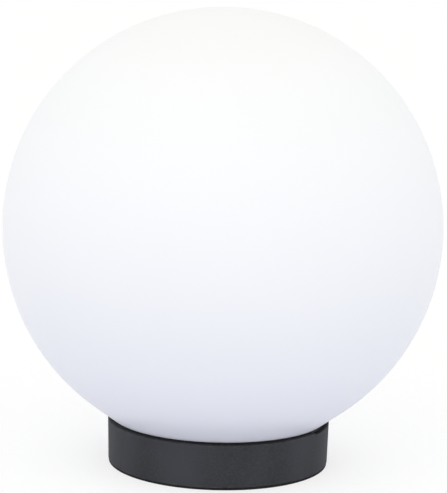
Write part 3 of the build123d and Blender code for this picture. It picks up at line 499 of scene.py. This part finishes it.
turned_lines = (0.1, 0.1, 1.0)
nickel = metal("nickel_plated_brass", (0.74, 0.71, 0.64), (0.62, 0.58, 0.50), 0.20, 0.006, turned_lines)
brass = metal("brass", (0.80, 0.58, 0.25), (0.62, 0.42, 0.17), 0.26)
dress(nickel, "screw_shell")
dress(brass, "shell_rivets", "centre_contact", "shell_contact", "terminal_block_inserts")

# ---------------------------------------------------------------- terminal block
# A three-pole block moulded in white nylon, with brass inserts. One screw holds it on a plinth on the
# base's floor.
white_nylon = moulded_white(
    "white_nylon", (0.83, 0.83, 0.80), (0.78, 0.78, 0.74), 0.42, 0.0009, 0.00003, Subsurface_Weight=0.1
)
dress(white_nylon, "terminal_block_body")

# ---------------------------------------------------------------- leads
# Three short leads with PVC sheaths, brown, blue and green with a yellow stripe, stripped at both ends to
# fine copper strands. The earth lead ends in a tinned ring, held under the bracket by the earth screw.
block_end, contact_end, ring_end, cut_edge = -0.0289, 0.02725, -0.0080, 0.0001
along_y, along_z = 1, 2
brown, blue = (0.17, 0.075, 0.035), (0.02, 0.13, 0.50)
green, yellow = (0.06, 0.32, 0.05), (0.80, 0.66, 0.05)
bare_copper = (0.72, 0.36, 0.21)


def sheath(name, colour, stripe, axis, end):
    """A smooth plastic sheath with a stripe on the side that faces +X. It is cut back to bare copper in the
    terminal block, and again past its other end along that axis."""
    finish = Finish(name)
    normal = finish.node("ShaderNodeTexCoord", output=1)
    side = finish.axes(normal)[0].step(0.25, 0.40)
    axes = finish.axes()
    in_block = axes[along_y].step(block_end + cut_edge, block_end - cut_edge)
    past_end = axes[axis].step(end - cut_edge, end + cut_edge)
    bare = in_block.at_least(past_end)
    lay = finish.grain(0.0003, 2.0, 0.5, (1.0, 0.2, 0.6))
    covered = finish.mix(side, colour, stripe)
    return finish.surface(
        Base_Color=finish.mix(bare, covered, bare_copper),
        Metallic=bare,
        Roughness=0.36 + 0.10 * lay,
        Normal=finish.bump(lay * (0.2 + 0.8 * bare), 0.00004),
    )


dress(sheath("brown_sheath", brown, brown, along_z, contact_end), "live_lead")
dress(sheath("blue_sheath", blue, blue, along_z, contact_end), "neutral_lead")
dress(sheath("green_yellow_sheath", green, yellow, along_y, ring_end), "earth_lead")
dress(metal("tinned_copper", (0.74, 0.72, 0.69), (0.60, 0.57, 0.53), 0.32), "earth_ring_terminal")

# ---------------------------------------------------------------- bulb's cap
# The ring round the bulb's collar is red-brown silicone. The cap is nickel-plated brass with a rolled
# thread, black glass round the tip and a dab of solder on it.
silicone = Finish("silicone")
silicone_rubber = silicone.surface(
    Base_Color=silicone.mix(silicone.grain(0.01, 3.0), (0.40, 0.095, 0.055), (0.33, 0.075, 0.045)),
    Roughness=0.42 + 0.1 * silicone.grain(0.001, 2.0),
    Normal=silicone.bump(silicone.grain(0.0012, 2.0), 0.00003),
)
solder = metal("solder", (0.62, 0.62, 0.63), (0.46, 0.46, 0.48), 0.34, 0.0015, (1.0, 1.0, 1.0))
glass = Finish("black_glass")
black_glass = glass.surface(
    Base_Color=glass.mix(glass.grain(0.004, 2.0), (0.008, 0.008, 0.010), (0.022, 0.020, 0.022)),
    Roughness=0.06 + 0.06 * glass.grain(0.003, 2.0),
    IOR=1.52,
    Normal=glass.bump(glass.grain(0.003, 1.0), 0.00004),
)
dress(silicone_rubber, "bulb_seal_ring")
dress(nickel, "bulb_cap_shell")
dress(solder, "bulb_tip_contact")
dress(black_glass, "bulb_cap_insulator")

# ---------------------------------------------------------------- bulb's body and diffuser
# The bulb has a white plastic housing round a spun aluminium heat sink. A frosted polycarbonate dome closes
# it, with its skirt inside the housing's rim.
white_bulb_plastic = moulded_white("white_bulb_plastic", (0.84, 0.84, 0.84), (0.80, 0.80, 0.80), 0.30)
frosted = moulded_white(
    "frosted_polycarbonate", (0.88, 0.88, 0.86), (0.84, 0.84, 0.82), 0.48, 0.0003, 0.00002,
    Subsurface_Weight=0.2,
)
spun_aluminium = metal("spun_aluminium", (0.80, 0.81, 0.82), (0.72, 0.73, 0.74), 0.28, 0.008, turned_lines)
dress(white_bulb_plastic, "bulb_housing")
dress(frosted, "bulb_diffuser")
dress(spun_aluminium, "bulb_heat_sink")

# ---------------------------------------------------------------- bulb's electronics
# Twelve yellow LEDs on a round white board, which two screws hold on the heat sink. Below it stands a green
# driver board with a sleeved capacitor and a copper-wound coil, with painted shade in the grooves between
# its turns.
track_inside, track_outside, track_edge = 0.0142, 0.0190, 0.0002
led_circle, gel_ends, gel_full = 0.0166, 0.0011, 0.0009
led_case, gel_pale, gel_deep = (0.83, 0.83, 0.80), (0.86, 0.60, 0.08), (0.80, 0.50, 0.05)
sleeve_end, bare_can = 0.0006, 0.0003
half_wire = 0.0002

board = Finish("white_circuit_board")
x, y = board.axes()[:2]
out = (x * x + y * y) ** 0.5
track_start = out.step(track_inside, track_inside + track_edge)
track = track_start * out.step(track_outside, track_outside - track_edge)
white_board = board.surface(
    Base_Color=board.mix(track, (0.80, 0.81, 0.79), (0.84, 0.85, 0.84)),
    Roughness=0.33 + 0.1 * board.grain(0.0005, 2.0),
    Normal=board.bump(track + board.grain(0.001, 2.0) * 0.2, 0.00004),
)
led = Finish("phosphor")
x, y = led.axes()[:2]
out = (x * x + y * y) ** 0.5
gel = abs(out - led_circle).step(gel_ends, gel_full)
gel_colour = led.mix(led.grain(0.0006, 2.0), gel_pale, gel_deep)
phosphor = led.surface(
    Base_Color=led.mix(gel, led_case, gel_colour),
    Roughness=0.25 + 0.1 * gel,
    Normal=led.bump(gel, 0.00006),
)
driver = Finish("green_circuit_board")
upright = driver.node("ShaderNodeMapping", None, {0: driver.place(), 2: (radians(90), 0.0, 0.0)})
sockets = {
    "Vector": upright,
    "Scale": 220.0,
    "Color1": (0.0, 0.0, 0.0),
    "Color2": (0.1, 0.1, 0.1),
    "Mortar": (1.0, 1.0, 1.0),
    "Mortar Size": 0.03,
}
copper = driver.node("ShaderNodeTexBrick", {"offset": 0.5}, sockets).step(0.4, 0.6)
green_board = driver.surface(
    Base_Color=driver.mix(copper, (0.012, 0.13, 0.045), (0.05, 0.27, 0.09)),
    Roughness=0.30 + 0.1 * driver.grain(0.0008, 2.0),
    Normal=driver.bump(copper, 0.00004),
)
sleeve = Finish("black_sleeve")
z = sleeve.axes()[2]
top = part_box("bulb_driver_capacitor")[1].z
can = z.step(top - sleeve_end, top - bare_can)
black_sleeve = sleeve.surface(
    Base_Color=sleeve.mix(can, (0.012, 0.012, 0.016), (0.70, 0.71, 0.72)),
    Metallic=can,
    Roughness=0.28 + 0.1 * sleeve.grain(0.001, 2.0),
    Normal=sleeve.bump(sleeve.grain(0.002, 2.0), 0.00003),
)
winding = Finish("copper_winding")
z = winding.axes()[2]
# Painted shade: the copper is darker in the grooves between the wire's turns, by the same pattern as its
# relief.
turns = winding.node("ShaderNodeMath", {"operation": "PINGPONG"}, {0: z, 1: half_wire}) / half_wire
copper_winding = winding.surface(
    Base_Color=winding.mix(turns, (0.22, 0.085, 0.03), (0.62, 0.28, 0.10)),
    Metallic=0.8,
    Roughness=0.34 + 0.1 * winding.grain(0.001, 2.0),
    Normal=winding.bump(turns, 0.0001),
)
dress(white_board, "bulb_led_board")
dress(phosphor, "bulb_leds")
dress(zinc_plated_steel, "bulb_board_screws")
dress(green_board, "bulb_driver_board")
dress(black_sleeve, "bulb_driver_capacitor")
dress(copper_winding, "bulb_driver_coil")
